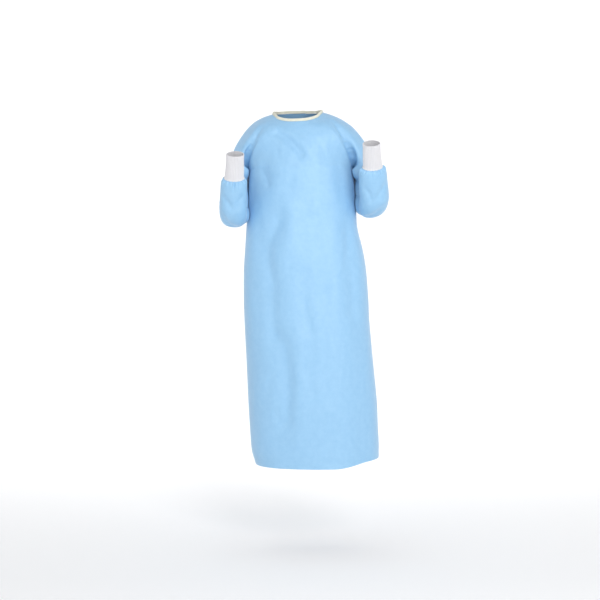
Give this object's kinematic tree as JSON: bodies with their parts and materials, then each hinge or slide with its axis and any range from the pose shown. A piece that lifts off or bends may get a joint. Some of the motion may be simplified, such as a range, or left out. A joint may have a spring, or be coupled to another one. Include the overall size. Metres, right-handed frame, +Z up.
{
  "type": "surgical gown",
  "caption": "Long-sleeved surgical gown in light blue nonwoven cloth with raglan sleeves, white rib-knit cuffs and a cream neck binding, worn and tied at the back.",
  "frame": {"origin": "base of the neck, midway between the tops of the shoulders, where the gown hangs from its wearer", "axes": "+Z up, -Y towards the front of the gown, +X towards the wearer's left"},
  "size_m": [0.5567, 0.4048, 1.1934],
  "materials": {
    "cloth": "matte",
    "knit": "matte",
    "binding": "matte",
    "tape": "matte"
  },
  "bodies": {
    "root": {"front_panel": "cloth", "right_back_panel": "cloth", "left_back_panel": "cloth", "right_sleeve": "cloth", "left_sleeve": "cloth", "neck_binding": "binding", "right_cuff": "knit", "left_cuff": "knit", "neck_tab": "tape", "right_tie": "tape", "left_tie": "tape", "tie_knot": "tape", "right_tail": "tape", "left_tail": "tape"}
  },
  "joints": []
}
